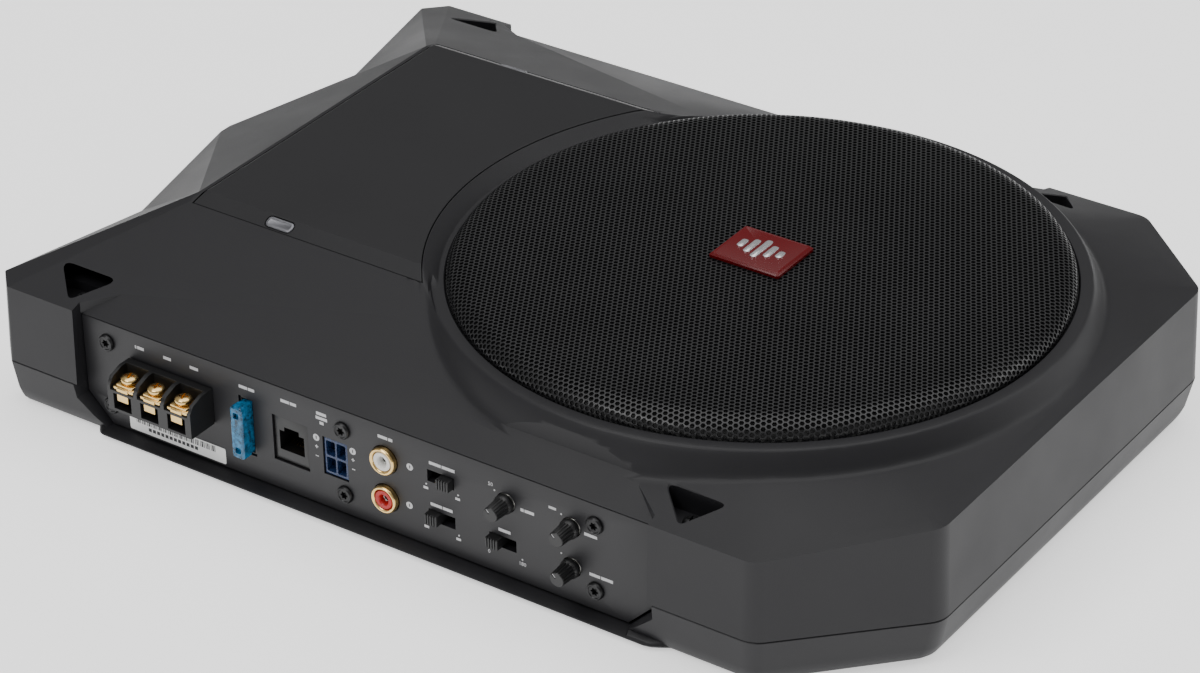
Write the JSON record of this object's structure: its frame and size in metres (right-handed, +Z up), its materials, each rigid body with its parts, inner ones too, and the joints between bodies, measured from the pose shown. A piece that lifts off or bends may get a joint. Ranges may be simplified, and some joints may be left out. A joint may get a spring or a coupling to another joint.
{
  "type": "powered car subwoofer",
  "caption": "Low, faceted under-seat powered subwoofer for a car: a round perforated grille over a shallow driver, an amplifier cover, and a panel of terminals, sockets, switches and knobs.",
  "frame": {"origin": "under the middle of the whole object, power terminals included, on the surface that its rubber feet stand on", "axes": "+Z up; +X along the connector panel, from the power terminals towards the knobs; -Y is the connector panel side"},
  "size_m": [0.3451, 0.257, 0.0701],
  "materials": {
    "charcoal_plastic": "fine texture",
    "smooth_black_plastic": "satin",
    "black_plastic": "satin",
    "black_rubber": "matte",
    "satin_silver": "satin",
    "black_steel": "satin, perforated",
    "gold_plate": "plated",
    "red_enamel": "gloss",
    "painted_steel": "satin",
    "cone_paper": "fibrous",
    "spider_cloth": "woven",
    "copper_wire": "enamelled copper",
    "ferrite": "matt",
    "zinc_plate": "plated",
    "black_screw": "black oxide",
    "clear_blue": "translucent",
    "smoke_blue": "translucent",
    "white_plastic": "satin",
    "red_plastic": "satin",
    "board_green": "solder mask",
    "aluminium": "extruded"
  },
  "bodies": {
    "case": {"amp_cover": "smooth_black_plastic", "audio_sense_switch": "satin_silver", "badge": "red_enamel", "bass_boost_pot": "satin_silver", "bottom_shell": "charcoal_plastic", "capacitor": "black_plastic", "control_board": "board_green", "control_panel": "smooth_black_plastic", "cover_insert_back": "satin_silver", "cover_insert_front": "satin_silver", "crossover_pot": "satin_silver", "driver_basket": "painted_steel", "driver_gasket": "black_rubber", "filter_coil": "copper_wire", "fuse_holder": "black_plastic", "grille": "black_steel", "heat_sink": "aluminium", "high_level_socket": "smoke_blue", "input_load_switch": "satin_silver", "level_pot": "satin_silver", "magnet": "ferrite", "motor_back_plate": "zinc_plate", "motor_top_plate": "zinc_plate", "panel_screw_1": "black_screw", "panel_screw_2": "black_screw", "panel_screw_3": "black_screw", "panel_screw_4": "black_screw", "panel_screw_5": "black_screw", "panel_screw_6": "black_screw", "phase_switch": "satin_silver", "power_board": "board_green", "rca_insert_left": "white_plastic", "rca_insert_right": "red_plastic", "rca_socket_left": "gold_plate", "rca_socket_right": "gold_plate", "remote_jack": "black_plastic", "rubber_foot_1": "black_rubber", "rubber_foot_2": "black_rubber", "rubber_foot_3": "black_rubber", "rubber_foot_4": "black_rubber", "spider": "spider_cloth", "surround": "black_rubber", "terminal_block": "black_plastic", "terminal_clamp_1": "gold_plate", "terminal_clamp_2": "gold_plate", "terminal_clamp_3": "gold_plate", "terminal_screw_1": "gold_plate", "terminal_screw_2": "gold_plate", "terminal_screw_3": "gold_plate", "top_housing": "charcoal_plastic"},
    "crossover_knob": {"crossover_knob": "black_plastic"},
    "level_knob": {"level_knob": "black_plastic"},
    "bass_boost_knob": {"bass_boost_knob": "black_plastic"},
    "audio_sense_slider": {"audio_sense_slider": "black_plastic"},
    "input_load_slider": {"input_load_slider": "black_plastic"},
    "phase_slider": {"phase_slider": "black_plastic"},
    "fuse": {"fuse": "clear_blue"},
    "moving_cone": {"cone": "cone_paper", "dust_cap": "cone_paper", "voice_coil": "copper_wire"}
  },
  "joints": [
    {"name": "crossover_turn", "type": "hinge", "parent": "case", "child": "crossover_knob", "pos_m": [0.0369, -0.1165, 0.0318], "axis": [0, 1, 0], "range_deg": [0, 270]},
    {"name": "level_turn", "type": "hinge", "parent": "case", "child": "level_knob", "pos_m": [0.0616, -0.1165, 0.0318], "axis": [0, 1, 0], "range_deg": [0, 270]},
    {"name": "bass_boost_turn", "type": "hinge", "parent": "case", "child": "bass_boost_knob", "pos_m": [0.0616, -0.1165, 0.017], "axis": [0, 1, 0], "range_deg": [0, 270]},
    {"name": "audio_sense_slide", "type": "slide", "parent": "case", "child": "audio_sense_slider", "axis": [1, 0, 0], "range_m": [-0.005, 0]},
    {"name": "input_load_slide", "type": "slide", "parent": "case", "child": "input_load_slider", "axis": [1, 0, 0], "range_m": [0, 0.005]},
    {"name": "phase_slide", "type": "slide", "parent": "case", "child": "phase_slider", "axis": [1, 0, 0], "range_m": [0, 0.005]},
    {"name": "fuse_pull", "type": "slide", "parent": "case", "child": "fuse", "axis": [0, -1, 0], "range_m": [0, 0.016]},
    {"name": "cone_travel", "type": "slide", "parent": "case", "child": "moving_cone", "axis": [0, 0, 1], "range_m": [-0.004, 0.004], "stiffness_N_per_m": 2000, "deforming": ["surround", "spider"]}
  ]
}
